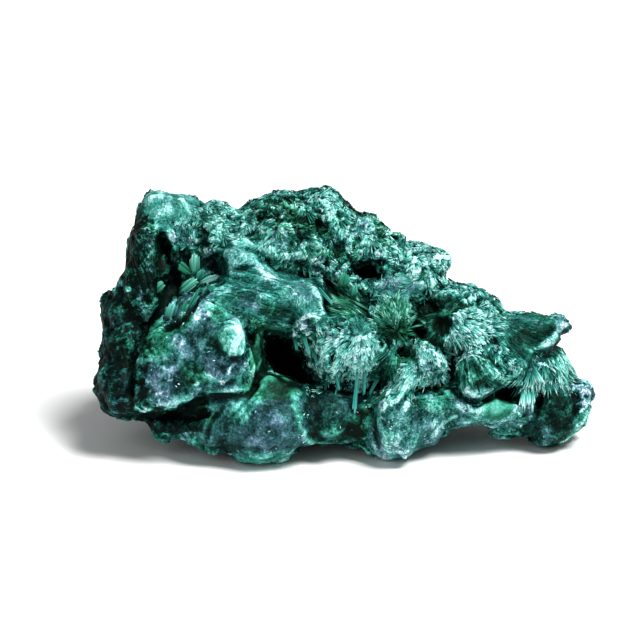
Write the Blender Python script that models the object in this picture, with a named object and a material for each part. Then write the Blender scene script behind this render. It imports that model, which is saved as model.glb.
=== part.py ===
"""A malachite specimen: one natural chunk of lumpy, fibrous malachite.

The chunk is one solid: ellipsoid lobes fused together, less the hollows between them. Each
lobe is placed in drawing units, about a millimetre each, in a leaning frame: `right` is +X,
and `up` and `toward` are +Z and -Y leaned back by LEAN, because the lobes face the front
and the sky. At the end the solid is sized to LENGTH and its box is centred over the origin,
with the flat patches that it rests on at z = 0.
"""

import math

import bmesh
import bpy
from mathutils import Matrix, Vector

NODE = "malachite_specimen"
# The chunk's overall length along X, in metres. It drives every other size.
LENGTH = 0.110

# Metres to one drawing unit while the lobes are drawn. The last step sizes the solid to LENGTH.
UNIT = 0.001
LEAN = math.radians(18.0)
# How far the plane that the chunk rests on lies under the leaning frame's origin.
REST_DEPTH = 26.6
# Side of the slab that cuts the resting patches: more than the chunk's own length.
SLAB_SIDE = 200.0

# Grain, smoothing and lumps of the fused mass.
FUSE_VOXEL = 0.9
FINISH_VOXEL = 0.8
SMOOTH_STEPS = 2
LUMP_SIZE = 5.0
LUMP_HEIGHT = 2.2
# The share of a lump's height that lies inside the smooth lobes.
LUMP_LEVEL = 0.35
TRIANGLE_BUDGET = 9400
LOBE_SUBDIVISIONS = 3

# Dull teal-green, the colour of the chunk as a whole.
STONE_COLOUR = (0.035, 0.2, 0.13, 1.0)
STONE_ROUGHNESS = 0.6

# A lobe: right, up, toward, half width, half height, half depth, roll in degrees.
CROWN = [
    (-35.2, 19.8, -3.0, 5.1, 8.9, 9.0, -4),
    (-30.3, 19.2, -6.0, 5.0, 8.7, 10.0, -6),
    (-23.3, 17.3, -6.0, 5.6, 9.0, 11.0, 0),
    (-17.0, 15.5, -8.0, 6.6, 8.9, 12.0, 0),
]
LEFT_FLANK = [
    (-35.8, 13.5, 0.0, 6.1, 9.5, 11.0, 6),
    (-37.2, 6.0, 2.0, 6.0, 8.0, 10.0, 15),
    (-42.2, 2.0, 0.0, 5.8, 5.6, 9.0, 0),
    (-41.3, -5.5, 1.0, 6.6, 7.4, 10.0, 0),
    (-41.8, -14.0, 3.0, 7.4, 7.8, 12.0, 0),
    (-37.0, -16.5, 4.0, 7.0, 5.4, 9.0, 0),
    (-33.5, -20.0, 5.0, 4.2, 7.0, 6.0, 15),
]
FRONT_LOBE = [
    (-28.4, -9.0, 12.4, 11.6, 10.0, 5.2, 14),
    (-30.0, -9.5, 5.0, 8.8, 10.0, 11.0, 0),
    (-25.0, -1.0, 11.0, 6.5, 7.6, 7.5, 25),
    (-24.5, -6.0, 6.0, 9.0, 9.6, 11.0, 0),
    (-20.3, -9.8, 13.5, 6.0, 5.4, 6.2, -15),
    (-18.5, -4.0, 16.5, 2.5, 4.4, 4.5, 0),
    (-31.5, -17.0, 9.0, 7.0, 2.8, 8.0, 8),
]
BUNDLE = [
    (-20.0, 4.5, 8.0, 6.0, 4.2, 7.5, 10),
    (-13.0, 4.0, 9.0, 9.0, 4.4, 7.5, -12),
    (-7.0, 4.8, 9.5, 9.0, 4.2, 6.5, -14),
    (-2.5, 3.0, 8.0, 4.4, 6.2, 7.5, -12),
    (-12.0, 8.6, 6.0, 8.0, 2.6, 6.0, -14),
    (-17.0, 12.6, 6.0, 5.2, 4.6, 5.5, 0),
    (-8.0, 0.0, 7.0, 6.0, 3.4, 6.0, -20),
    (-14.2, 0.6, 9.5, 4.6, 3.2, 6.5, -20),
]
UPPER_FIELD = [
    (-8.5, 15.0, -6.5, 11.0, 13.4, 14.0, 0),
    (0.5, 16.0, -8.5, 9.0, 13.2, 14.0, 0),
    (7.0, 12.5, -7.5, 8.5, 11.3, 13.0, 0),
    (12.5, 11.8, -7.0, 6.0, 9.8, 12.0, 15),
    (12.0, 17.0, -8.0, 5.4, 4.6, 9.0, -38),
    (19.5, 9.0, -6.0, 7.5, 8.0, 10.0, 15),
    (25.0, 13.2, -6.0, 4.0, 2.5, 5.0, -12),
    (29.5, 1.8, -4.5, 6.5, 6.0, 10.0, 0),
    (34.8, 1.6, -4.0, 4.4, 6.2, 8.0, 25),
    (39.0, -3.4, -3.0, 7.0, 5.0, 8.0, -20),
]
MIDDLE = [
    (4.0, -4.0, 5.0, 8.0, 8.0, 9.0, 0),
    (8.5, -7.0, 7.5, 7.0, 6.5, 8.5, 0),
    (3.0, -8.5, 8.0, 4.2, 5.0, 7.0, 0),
    (16.5, -1.0, 1.0, 8.5, 7.5, 9.0, 0),
    (26.0, -1.0, 0.0, 8.0, 6.5, 9.0, 0),
    (22.0, -9.4, 7.5, 4.8, 4.2, 7.0, -20),
    (24.2, -7.8, 10.5, 5.4, 1.3, 5.0, -49),
    (18.3, -14.3, 10.0, 2.3, 5.6, 4.5, -22),
    (14.5, -8.5, 6.5, 4.2, 5.0, 6.5, -30),
    (33.4, -11.8, 5.5, 4.6, 4.5, 7.0, 0),
    (35.6, -10.2, 9.0, 5.8, 1.2, 5.0, -38),
    (34.0, -16.0, 7.5, 4.6, 1.2, 4.0, 8),
    (41.0, -10.0, 4.5, 3.2, 4.4, 6.0, 25),
    (36.0, -5.0, 1.0, 7.0, 4.0, 7.0, -12),
]
FIN = [
    (46.5, -3.0, -4.0, 5.0, 4.9, 6.0, 0),
    (50.0, -1.2, -5.0, 5.0, 2.5, 4.0, -6),
    (45.5, -8.5, -3.0, 6.0, 6.0, 8.0, 0),
    (48.2, -5.6, 1.0, 5.2, 1.5, 4.5, 38),
    (44.2, -10.8, 3.5, 1.5, 3.4, 4.0, -15),
    (48.3, -12.2, -1.0, 5.8, 5.6, 7.0, -35),
]
FRONT_FOOT = [
    (-11.0, -21.8, 14.5, 8.6, 6.4, 5.5, -16),
    (-13.0, -22.4, 9.0, 11.0, 9.3, 10.0, 0),
    (-22.0, -21.5, 7.5, 9.0, 7.6, 9.5, -8),
    (-18.5, -19.5, 12.5, 4.5, 5.5, 6.0, 30),
    (-6.2, -21.0, 9.0, 5.3, 8.4, 9.0, -8),
    (2.5, -20.5, 9.0, 5.6, 5.6, 6.5, -5),
    (1.5, -20.2, 5.0, 6.0, 6.9, 9.0, 0),
    (8.0, -20.5, 4.0, 5.0, 7.4, 9.0, -15),
    (-3.9, -20.8, 15.0, 1.3, 5.2, 3.5, 14),
    (-14.2, -7.0, 8.0, 2.2, 6.6, 8.0, 6),
    (-10.2, -14.8, 10.5, 5.4, 3.3, 6.0, 0),
]
MIDDLE_FOOT = [
    (16.5, -22.2, 12.0, 5.6, 7.4, 5.5, 12),
    (15.5, -22.8, 6.0, 7.6, 8.0, 10.0, 0),
    (21.0, -19.0, 9.5, 7.5, 4.0, 5.5, 14),
    (20.0, -19.5, 5.0, 7.5, 8.0, 9.5, 0),
    (24.0, -22.4, 5.0, 3.6, 5.6, 7.0, -15),
    (31.0, -18.2, 6.0, 8.5, 4.2, 6.0, -6),
    (30.0, -18.2, 2.0, 9.0, 5.5, 8.0, 0),
    (37.0, -18.4, 3.0, 7.0, 4.6, 8.0, 0),
    (39.0, -23.8, -2.0, 2.8, 2.5, 3.5, 0),
]
RIGHT_FOOT = [
    (50.5, -20.2, 4.0, 4.6, 6.6, 4.5, 8),
    (49.8, -20.6, -1.0, 6.0, 7.7, 8.0, 0),
    (44.5, -19.5, -1.0, 6.0, 6.0, 8.0, 0),
    (54.2, -20.5, -1.0, 4.0, 6.4, 7.0, -35),
    (56.6, -16.4, -1.0, 3.6, 3.6, 6.0, 0),
]
BACK = [
    (-22.0, 0.0, -12.0, 22.0, 20.0, 17.0, 0),
    (4.0, 0.0, -12.0, 22.0, 20.0, 17.0, 0),
    (26.0, -5.0, -9.0, 17.0, 12.0, 13.0, 0),
    (44.0, -12.0, -6.0, 12.0, 8.0, 9.0, 0),
    (-26.0, -12.6, -19.0, 10.0, 9.6, 10.0, 0),
    (-5.0, -11.0, -21.0, 11.0, 8.6, 9.0, 0),
    (14.0, -12.6, -16.0, 10.0, 10.4, 9.0, 0),
    (32.0, -10.0, -13.0, 9.0, 8.0, 8.0, 0),
    (-34.0, 4.0, -14.0, 9.0, 10.0, 10.0, 0),
    (-12.0, 10.0, -22.0, 9.0, 9.0, 7.0, 0),
    (8.0, 6.0, -21.0, 8.0, 8.0, 7.0, 0),
]
LOBES = (
    CROWN + LEFT_FLANK + FRONT_LOBE + BUNDLE + UPPER_FIELD + MIDDLE
    + FIN + FRONT_FOOT + MIDDLE_FOOT + RIGHT_FOOT + BACK
)

# Hollows, in the same form as the lobes.
CAVE = [
    (-9.4, -6.4, 14.0, 2.6, 4.0, 18.0, 12),
    (-6.6, -9.2, 13.0, 4.2, 3.0, 17.0, -40),
    (-4.0, -11.4, 12.0, 2.6, 3.4, 16.0, 25),
]
PITS = [
    (10.2, 10.5, 6.0, 3.4, 2.3, 8.0, 0),
    (-33.6, 15.0, 9.0, 1.8, 4.6, 7.0, 12),
    (-32.5, 7.0, 12.0, 2.6, 7.0, 8.0, 8),
    (-22.5, 12.0, 9.0, 2.4, 3.0, 6.0, 0),
    (2.6, 6.5, 9.0, 1.2, 3.6, 6.0, 12),
    (24.0, 2.2, 10.0, 2.6, 1.8, 5.0, 15),
    (18.0, -7.2, 9.0, 2.6, 1.6, 4.5, 30),
    (0.0, 20.5, 6.0, 3.0, 1.8, 4.0, 0),
    (-17.0, 11.0, 12.5, 2.4, 0.9, 4.0, 8),
]
UNDERCUTS = [
    (28.3, -12.0, 10.0, 0.9, 3.6, 6.0, 8),
    (25.0, -14.3, 12.0, 3.6, 0.9, 7.0, 8),
    (40.0, -15.9, 9.0, 2.8, 1.8, 6.0, 0),
    (10.5, -15.5, 13.0, 4.2, 2.0, 6.0, 15),
    (47.6, -17.5, 7.0, 1.0, 3.4, 5.0, -25),
    (-30.0, -21.0, 14.0, 8.0, 1.8, 6.0, 8),
    (-38.8, -8.0, 11.0, 0.9, 8.0, 5.0, 8),
    (-13.3, -13.5, 14.5, 1.0, 3.0, 5.0, -20),
]
HOLLOWS = CAVE + PITS + UNDERCUTS


def place(right, up, toward):
    """The point in metres that a place in the leaning frame stands for."""
    y = up * math.sin(LEAN) - toward * math.cos(LEAN)
    z = up * math.cos(LEAN) + toward * math.sin(LEAN) + REST_DEPTH
    return Vector((right, y, z)) * UNIT


def clear_scene():
    for item in list(bpy.data.objects):
        bpy.data.objects.remove(item, do_unlink=True)


def mesh_object(name, shape):
    """A new object of this name from a bmesh, which is freed."""
    mesh = bpy.data.meshes.new(name)
    shape.to_mesh(mesh)
    shape.free()
    made = bpy.data.objects.new(name, mesh)
    bpy.context.scene.collection.objects.link(made)
    return made


def ellipsoids(name, rows):
    """One object that holds an ellipsoid for each row, not yet fused."""
    shape = bmesh.new()
    lean = Matrix.Rotation(-LEAN, 4, "X")
    for right, up, toward, half_width, half_height, half_depth, roll in rows:
        spot = Matrix.Translation(place(right, up, toward))
        spin = Matrix.Rotation(math.radians(-roll), 4, "Y")
        half_sizes = Vector((half_width, half_depth, half_height)) * UNIT
        size = Matrix.Diagonal((*half_sizes, 1.0))
        bmesh.ops.create_icosphere(
            shape, subdivisions=LOBE_SUBDIVISIONS, radius=1.0, matrix=spot @ lean @ spin @ size
        )
    return mesh_object(name, shape)


def helper(item):
    """Marks an object as a cutter, which is no part of the solid."""
    item.hide_render = True
    item.display_type = "WIRE"
    return item


def fuse(item, voxel):
    """Fuses what overlaps into one skin of about this grain."""
    remesh = item.modifiers.new("fuse", "REMESH")
    remesh.mode = "VOXEL"
    remesh.voxel_size = voxel * UNIT
    remesh.use_smooth_shade = True


def cut(item, cutter):
    boolean = item.modifiers.new("cut " + cutter.name, "BOOLEAN")
    boolean.operation = "DIFFERENCE"
    boolean.solver = "EXACT"
    boolean.object = cutter


def roughen(item):
    """Breaks the smooth lobes into lumps."""
    lumps = bpy.data.textures.new("lumps", "CLOUDS")
    lumps.noise_scale = LUMP_SIZE * UNIT
    lumps.noise_depth = 2
    lumps.noise_type = "HARD_NOISE"
    displace = item.modifiers.new("lumps", "DISPLACE")
    displace.texture = lumps
    displace.texture_coords = "LOCAL"
    displace.strength = LUMP_HEIGHT * UNIT
    displace.mid_level = LUMP_LEVEL


def smooth(item, steps):
    relax = item.modifiers.new("smooth", "SMOOTH")
    relax.factor = 0.5
    relax.iterations = steps


def apply_modifiers(item):
    """Replaces the object's mesh with the one that its modifiers make."""
    graph = bpy.context.evaluated_depsgraph_get()
    item.data = bpy.data.meshes.new_from_object(item.evaluated_get(graph))
    item.modifiers.clear()


def thin_out(item, budget):
    """Keeps about this many triangles, most where the shape turns most."""
    triangles = sum(len(face.vertices) - 2 for face in item.data.polygons)
    decimate = item.modifiers.new("thin out", "DECIMATE")
    decimate.ratio = budget / triangles
    decimate.use_collapse_triangulate = True


def resting_cutter():
    """A slab under z = 0 that leaves flat patches where the chunk rests."""
    shape = bmesh.new()
    side = SLAB_SIDE * UNIT
    drop = Matrix.Translation((0.0, 0.0, -side / 2.0))
    bmesh.ops.create_cube(shape, size=side, matrix=drop)
    return helper(mesh_object("resting_cutter", shape))


def size_and_centre(item):
    """Sizes the mesh to LENGTH and puts the middle of its box's underside at the origin."""
    places = [vertex.co for vertex in item.data.vertices]
    low = Vector([min(place[axis] for place in places) for axis in range(3)])
    high = Vector([max(place[axis] for place in places) for axis in range(3)])
    middle = (low + high) / 2.0
    shift = Matrix.Translation((-middle.x, -middle.y, -low.z))
    scale = Matrix.Scale(LENGTH / (high.x - low.x), 4)
    item.data.transform(scale @ shift)


def malachite():
    material = bpy.data.materials.new("malachite")
    material.use_nodes = True
    surface = material.node_tree.nodes["Principled BSDF"]
    surface.inputs["Base Color"].default_value = STONE_COLOUR
    surface.inputs["Roughness"].default_value = STONE_ROUGHNESS
    surface.inputs["Metallic"].default_value = 0.0
    return material


def build():
    clear_scene()
    hollows = helper(ellipsoids("hollows", HOLLOWS))
    fuse(hollows, FUSE_VOXEL)
    chunk = ellipsoids(NODE, LOBES)
    fuse(chunk, FUSE_VOXEL)
    cut(chunk, hollows)
    fuse(chunk, FINISH_VOXEL)
    smooth(chunk, SMOOTH_STEPS)
    roughen(chunk)
    apply_modifiers(chunk)
    thin_out(chunk, TRIANGLE_BUDGET)
    cut(chunk, resting_cutter())
    apply_modifiers(chunk)
    size_and_centre(chunk)
    chunk.data.materials.clear()
    chunk.data.materials.append(malachite())


build()
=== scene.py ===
"""Looks of the malachite specimen: a craggy chunk with lilac-grey skins, partly a painted velvet
sheen, and sheaves of splinters.

Places on the chunk are millimetres in a leaning frame that faces the camera: `right` is +X,
and `up` and `toward` are +Z and -Y leaned back by LEAN, the camera's angle above level.
"""

import math
from collections import namedtuple

import bmesh
import bpy
import numpy as np
from mathutils import Matrix, Vector, noise
from mathutils.bvhtree import BVHTree
from mathutils.kdtree import KDTree


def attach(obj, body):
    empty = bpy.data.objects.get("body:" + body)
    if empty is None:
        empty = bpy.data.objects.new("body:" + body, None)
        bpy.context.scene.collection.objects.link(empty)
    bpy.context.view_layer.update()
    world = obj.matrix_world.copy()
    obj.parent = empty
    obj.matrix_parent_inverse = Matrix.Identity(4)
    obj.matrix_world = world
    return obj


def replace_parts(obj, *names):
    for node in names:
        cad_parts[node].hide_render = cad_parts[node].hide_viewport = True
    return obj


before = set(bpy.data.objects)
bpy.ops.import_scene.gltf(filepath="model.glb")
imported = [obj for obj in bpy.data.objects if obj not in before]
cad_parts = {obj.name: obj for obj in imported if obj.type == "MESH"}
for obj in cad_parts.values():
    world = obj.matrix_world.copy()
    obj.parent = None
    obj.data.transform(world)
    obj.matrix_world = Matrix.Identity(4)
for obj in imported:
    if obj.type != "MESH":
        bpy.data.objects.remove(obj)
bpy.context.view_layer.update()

NODE = "malachite_specimen"
BODY = "root"

# The leaning frame: its tilt, its origin in the shared frame, and metres to its unit.
LEAN = math.radians(18.0)
UNIT = 0.0010034
ORIGIN = np.array((-0.00557, -0.00271, 0.02669))
AXES = np.array((
    (1.0, 0.0, 0.0),
    (0.0, math.sin(LEAN), math.cos(LEAN)),
    (0.0, -math.cos(LEAN), math.sin(LEAN)),
))
LEAN_MATRIX = Matrix.LocRotScale(Vector(ORIGIN), Matrix(AXES.T.tolist()), (UNIT, UNIT, UNIT))

# Every random draw and drifting direction follows from this, so each run is the same.
SEED = 7
rng = np.random.default_rng(SEED)
noise.seed_set(SEED)


def to_world(place):
    """A leaning-frame place as a point in metres."""
    return ORIGIN + UNIT * np.asarray(place) @ AXES


# ---------------------------------------------------------------- camera, lights, floor

VIEW_WIDTH = 139.13
CAMERA_DISTANCE = 900.0
SENSOR = 36.0
KEY = {"place": (810.0, 1560.0, 1000.0), "size": 850.0, "watts": 73.0}
FILL = {"place": (-350.0, 150.0, 420.0), "size": 400.0, "watts": 0.5}
WORLD_LIGHT = 0.27
FLOOR_SIDE = 8.0
FLOOR_COLOUR = (0.9, 0.9, 0.9, 1.0)


def add_camera():
    lens = bpy.data.cameras.new("camera")
    lens.sensor_width = SENSOR
    lens.lens = SENSOR * CAMERA_DISTANCE / VIEW_WIDTH
    lens.clip_start = 0.01
    lens.clip_end = 50.0
    camera = bpy.data.objects.new("camera", lens)
    camera.location = to_world((0.0, 0.0, CAMERA_DISTANCE))
    camera.rotation_euler = (math.radians(90.0) - LEAN, 0.0, 0.0)
    bpy.context.scene.collection.objects.link(camera)
    bpy.context.scene.camera = camera


def add_light(name, place, size, watts):
    """A square area light at a leaning-frame place, aimed at the chunk's middle."""
    lamp = bpy.data.lights.new(name, "AREA")
    lamp.size = size * UNIT
    lamp.energy = watts
    light = bpy.data.objects.new(name, lamp)
    light.location = to_world(place)
    aim = Vector(to_world((0.0, 0.0, 0.0))) - light.location
    light.rotation_euler = aim.to_track_quat("-Z", "Y").to_euler()
    bpy.context.scene.collection.objects.link(light)


def add_studio():
    scene = bpy.context.scene
    world = bpy.data.worlds.new("studio")
    world.use_nodes = True
    background = world.node_tree.nodes["Background"]
    background.inputs["Color"].default_value = (1.0, 1.0, 1.0, 1.0)
    background.inputs["Strength"].default_value = WORLD_LIGHT
    scene.world = world
    scene.view_settings.view_transform = "Standard"
    add_light("key", **KEY)
    add_light("fill", **FILL)
    shape = bmesh.new()
    bmesh.ops.create_grid(shape, x_segments=1, y_segments=1, size=FLOOR_SIDE / 2.0)
    mesh = bpy.data.meshes.new("floor")
    shape.to_mesh(mesh)
    shape.free()
    floor = bpy.data.objects.new("floor", mesh)
    scene.collection.objects.link(floor)
    paper = bpy.data.materials.new("floor_paper")
    paper.use_nodes = True
    surface = paper.node_tree.nodes["Principled BSDF"]
    surface.inputs["Base Color"].default_value = FLOOR_COLOUR
    surface.inputs["Roughness"].default_value = 0.9
    mesh.materials.append(paper)


# ---------------------------------------------------------------- zones of the surface

# How a kind of surface looks. kind: "tuft" grows sheaves that wander, "fan" grows them away
# from the zone's aim point, "flow" lays fibres along its aim direction, "skin" grows none.
# Then the splinters' length and width, the gap between sheaves, the splinters to a sheaf,
# how far they splay and lift off the surface, how high their tips may stand over it, how
# blunt they end, their green tint, and the stone's own roughness, its lilac-grey share
# (partly a painted velvet sheen), and contrast.
Style = namedtuple(
    "Style", "kind length width gap count splay lift height blunt green rough bloom contrast"
)


def skin(green, rough, bloom, contrast):
    """A style that grows no splinters."""
    return Style("skin", 0, 0, 0, 0, 0, 0, 0, 0, green, rough, bloom, contrast)


STYLES = {
    "ledges": Style("tuft", 2.0, 0.25, 0.92, 9, 0.20, 0.20, 0.45, 0.7, 0.20, 0.9, 0.2, 1.0),
    "grains": Style("tuft", 1.8, 0.19, 0.80, 8, 0.20, 0.18, 0.30, 0.7, 0.25, 0.5, 0.3, 0.8),
    "velvet": Style("tuft", 1.5, 0.12, 0.60, 6, 0.28, 0.12, 0.12, 0.6, 0.22, 0.10, 0.2, 0.35),
    "fuzz": Style("tuft", 1.0, 0.10, 0.66, 6, 0.50, 0.14, 0.10, 0.5, 0.22, 0.15, 0.5, 0.60),
    "columns": Style("fan", 3.0, 0.30, 1.00, 10, 0.18, 0.20, 0.60, 0.8, 0.08, 0.9, 0.1, 1.0),
    "fleece": Style("fan", 2.3, 0.19, 0.85, 9, 0.24, 0.14, 0.34, 0.6, 0.12, 0.7, 0.1, 0.75),
    "down": Style("fan", 1.8, 0.12, 0.62, 6, 0.20, 0.10, 0.14, 0.6, 0.25, 0.2, 0.2, 0.40),
    "cords": Style("fan", 4.2, 0.27, 1.15, 11, 0.20, 0.12, 0.9, 0.4, 0.20, 0.9, 0.0, 1.0),
    "spray": Style("fan", 2.9, 0.12, 0.58, 8, 0.14, 0.30, 0.90, 0.1, 1.10, 0.4, 0.0, 0.8),
    "roots": Style("fan", 4.6, 0.22, 1.30, 7, 0.07, 0.03, 0.40, 0.6, 0.30, 0.8, 0.0, 0.8),
    "wisps": Style("fan", 4.8, 0.13, 1.5, 5, 0.10, 0.06, 0.30, 0.3, 0.35, 0.25, 0.0, 1.3),
    "strands": Style("fan", 3.0, 0.20, 1.1, 5, 0.12, 0.06, 0.20, 0.3, 0.40, 0.4, 0.1, 0.5),
    "silk": Style("flow", 4.0, 0.13, 0.9, 3, 0.12, 0.02, 0.08, 0.5, 0.15, 0.15, 0.2, 0.5),
    "blades": Style("fan", 4.4, 0.19, 0.8, 7, 0.05, 0.08, 0.5, 0.3, 1.00, 0.3, 0.0, 0.9),
    "crust": skin(0.12, 0.42, 0.60, 0.54),
    "sheen_bloomed": skin(0.15, 0.16, 0.55, 0.46),
    "smooth": skin(0.5, 0.05, 0.0, 0.15),
    "plush": skin(0.15, 0.15, 0.0, 0.6),
    "scabs": skin(0.15, 0.7, 0.8, 1.2),
    "rubble": skin(0.2, 0.9, 0.25, 0.8),
}

# Zones of the front, later ones over earlier ones: an ellipse, what it is aimed at, and how
# light it is, a lightness that holds painted light and shade as well as the stone's own tone.
Zone = namedtuple("Zone", "style right up half_right half_up roll aim light")
ZONES = [Zone(*row) for row in (
    # The upper field, from the crown's saddle to the nose.
    ("ledges", -4, 22, 14, 9, 0, (0.3, 0.3), 0.64),
    ("ledges", 8, 15, 13, 9, -25, (0.4, -0.5), 0.86),
    ("ledges", 20, 11.5, 10, 6, -20, (0.3, -0.4), 0.92),
    ("ledges", 34, 3, 9, 6, -20, (0.4, -0.3), 0.76),
    ("grains", -8, 14, 9, 5, -20, (0.4, -0.4), 0.72),
    ("velvet", 16.5, 7.6, 6.5, 2.8, -8, (0.1, -0.4), 0.54),
    # The crown and its saddle.
    ("velvet", -33, 23, 8.5, 6.5, 0, (0.2, -0.3), 0.63),
    ("grains", -22, 20, 9, 6, 0, (0.2, -0.2), 0.76),
    # The left flank's fans, dark partly by painted shade.
    ("wisps", -38, 13, 5.4, 8.6, 0, (-44, 24), -0.10),
    ("rubble", -31, 6, 5.5, 10, 0, None, 0.08),
    # The hump and the twisted bundle.
    ("velvet", -17, 13.5, 6, 4.5, 0, (0.1, 0.4), 0.55),
    ("silk", -9, 4.5, 14.5, 7, -10, (1, -0.3), 0.46),
    ("velvet", -4, 6, 5, 4.5, -40, (0.8, -0.6), 0.54),
    # The middle mass, its tongue and the blocks beside it.
    ("ledges", -1, -6.5, 4.5, 7.5, 15, (0.2, -0.9), 1.02),
    ("fleece", 7.2, -8.5, 6.8, 6.2, 0, (8.6, -2.6), 0.96),
    ("strands", 14.5, -10.5, 3.4, 5, 0, (17, -3), 0.40),
    ("fleece", 22.8, -9, 5.6, 5, -15, (19.6, -2.5), 0.90),
    ("fleece", 17.2, -15, 3, 5.5, -30, (21.5, -9), 0.96),
    # Sprays whose needles run out from one point.
    ("blades", 5.7, 4, 5.4, 3.2, -38, (19, -6.6), 0.62),
    ("strands", 26, -0.5, 6.6, 5.6, 0, (26.7, 0.4), 0.16),
    ("fleece", 34.5, -2, 6.5, 4.5, -20, (26.7, 0.4), 1.00),
    ("columns", 30.8, -4.2, 4.2, 3.8, -30, (26.7, 0.4), 1.40),
    ("spray", 16, -0.4, 4.2, 4.6, 0, (16.5, -2.5), 0.70),
    ("down", 8.5, -1.3, 2.4, 2.2, 0, (8.8, -4.6), 0.54),
    # The wedges under the sprays, the fin and the curtain below it.
    ("fleece", 40, -5.5, 5.5, 4.5, 0, (30, 1), 0.72),
    ("strands", 34, -12, 5, 4.8, 0, (31, -5), 0.42),
    ("roots", 51.3, -10.4, 4.4, 4.4, -30, (47, 1), 1.04),
    ("cords", 47.3, -12.4, 3.5, 6.2, -12, (48, 4), 1.04),
    ("down", 46, -3.6, 7.4, 5.4, -10, (34, 2), 0.33),
    # Skins.
    ("crust", -27.5, -7.5, 12.5, 12.5, 0, None, 0.34),
    ("sheen_bloomed", -13.5, -21.5, 14, 9.5, 0, None, 0.30),
    ("sheen_bloomed", 3, -21, 8, 6.5, 0, None, 0.10),
    ("fuzz", 18, -23.5, 8.5, 8, 0, (0.5, -1), 0.61),
    ("fuzz", 34, -19.5, 13, 5, 0, (1, -0.5), 0.69),
    ("fuzz", 51.5, -21, 8.5, 7.5, 0, (0.2, -1), 0.21),
    ("plush", -18.6, -4.2, 3, 4.2, 0, None, 0.54),
    ("smooth", -12.9, -7.5, 2.1, 6.8, 0, None, 0.12),
    ("smooth", -9.6, -14.2, 6.2, 3, 0, None, 0.21),
    ("smooth", -25.2, -20.4, 3.4, 1.6, -40, None, 0.20),
    ("smooth", 38, -18.6, 3.6, 3, 0, None, 0.27),
    ("fuzz", 52.6, -1.6, 2.8, 1.8, -20, (1, 0), 0.44),
    ("fuzz", 48.9, -5.6, 6.4, 1.3, 48, (-0.7, -0.7), 0.56),
    ("scabs", 57.2, -16.2, 3.2, 3.9, -20, None, 0.30),
    # Dark rubble, partly painted shade: the lower left flank, and the shadow under the big plate.
    ("rubble", -44, -8, 8, 15, 0, None, -0.05),
    ("rubble", -32, -21.5, 8, 3, 0, None, -0.16),
)]
# The rest of the chunk is patches of these, from its tops down to its underside.
REST = [Zone(style, 0, 0, 0, 0, 0, aim, light) for style, aim, light in (
    ("ledges", (0, 0.3), 0.62),
    ("grains", (0, 0.3), 0.54),
    ("crust", None, 0.42),
    ("rubble", None, 0.30),
)]
# The noise levels between the patches, how ragged the zones' borders are, and how far down
# or away from the camera a surface may turn before it is underside or out of the zones.
PATCH_LIMITS = (0.0, 0.22, 0.45)
ALL_ZONES = ZONES + REST
UNDERSIDE = len(ALL_ZONES) - 1
BORDER_NOISE = 0.16
DOWNWARD = -0.35
ZONED = -0.1

# Ridges that stand out of the surface: radius, lightness, then places as right and up.
RIDGES = [
    (0.5, 0.76, [(-15.4, -5.5), (-14.1, -10.2), (-14.5, -13.2), (-15.8, -15)]),
    (0.4, 0.60, [(-15.8, -15), (-22.9, -15.2)]),
    (0.4, 0.46, [(-22.9, -15.2), (-28.5, -16.8), (-33.7, -19.3), (-39.4, -18.7)]),
    (0.35, 0.50, [(-12.5, -2.4), (-12, -7.2), (-13.6, -10.6)]),
    (0.5, 0.36, [(-14.8, -15.2), (-10.1, -11.4), (-5.2, -13.7)]),
    (0.5, 0.57, [(-18, -21.3), (-15, -17.8), (-12.4, -14.3)]),
    (0.35, 0.60, [(-16.6, -21.8), (-14.4, -19.2), (-12.9, -16.6)]),
    (0.35, 0.56, [(-19.4, -20.4), (-17.4, -18.2), (-15.6, -16.2)]),
    (0.7, 0.42, [(-5.6, -16.6), (-5.4, -19), (-4.4, -22.4), (-3.2, -25.3)]),
    (0.6, 0.53, [(-3.4, -25.5), (0, -26.4), (4.5, -26.4), (7.1, -25.6)]),
    (0.5, 0.52, [(13.4, -18.9), (12.4, -21.6), (13.7, -24.2), (14.5, -27.7), (16.1, -29.4)]),
    (0.8, 0.62, [(19.4, -13.7), (16.6, -16.9), (13.9, -18.7)]),
    (0.55, 0.82, [(18.7, -16.3), (18.2, -19.2)]),
    (0.4, 0.86, [(29, -20.5), (26.3, -22.1), (24.8, -23.7), (24.2, -24.8)]),
    (0.35, 0.86, [(24.4, -21.5), (24.3, -22.4)]),
    (0.35, 0.82, [(21, -24.5), (20.5, -25.8)]),
    (0.45, 0.68, [(20.7, -3.9), (23.8, -5.8), (25.8, -8.6), (27.5, -11.7), (26.7, -13.2),
                  (23, -14)]),
    (0.35, 0.66, [(20.2, -4.4), (17.8, -6), (15.9, -9.2), (14.2, -12.4)]),
    (0.5, 0.64, [(-3.7, 8.5), (-1.1, 6.3), (0, 4.5), (0.1, 2.9), (0.9, 1.1), (2.6, 0)]),
    (0.35, 0.58, [(30.5, -7), (34.8, -8), (37.6, -10.6), (40, -14.3)]),
    (0.4, 0.60, [(42.1, -10.7), (39.7, -12.8)]),
    (0.35, 0.60, [(39.5, -14), (37.1, -15.6), (35, -16.8), (31, -15.6)]),
    (0.45, 0.64, [(51.1, -3.2), (50.4, -5.3), (47, -6), (44.9, -8.1), (43.5, -10.9),
                  (40, -13.7)]),
    (0.7, 0.60, [(58.4, -18.9), (56.3, -22.3), (55, -24.4), (52.4, -26.4)]),
    (0.5, 0.47, [(42.3, -22.8), (44.7, -21.5), (47.1, -19.7)]),
]

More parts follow.
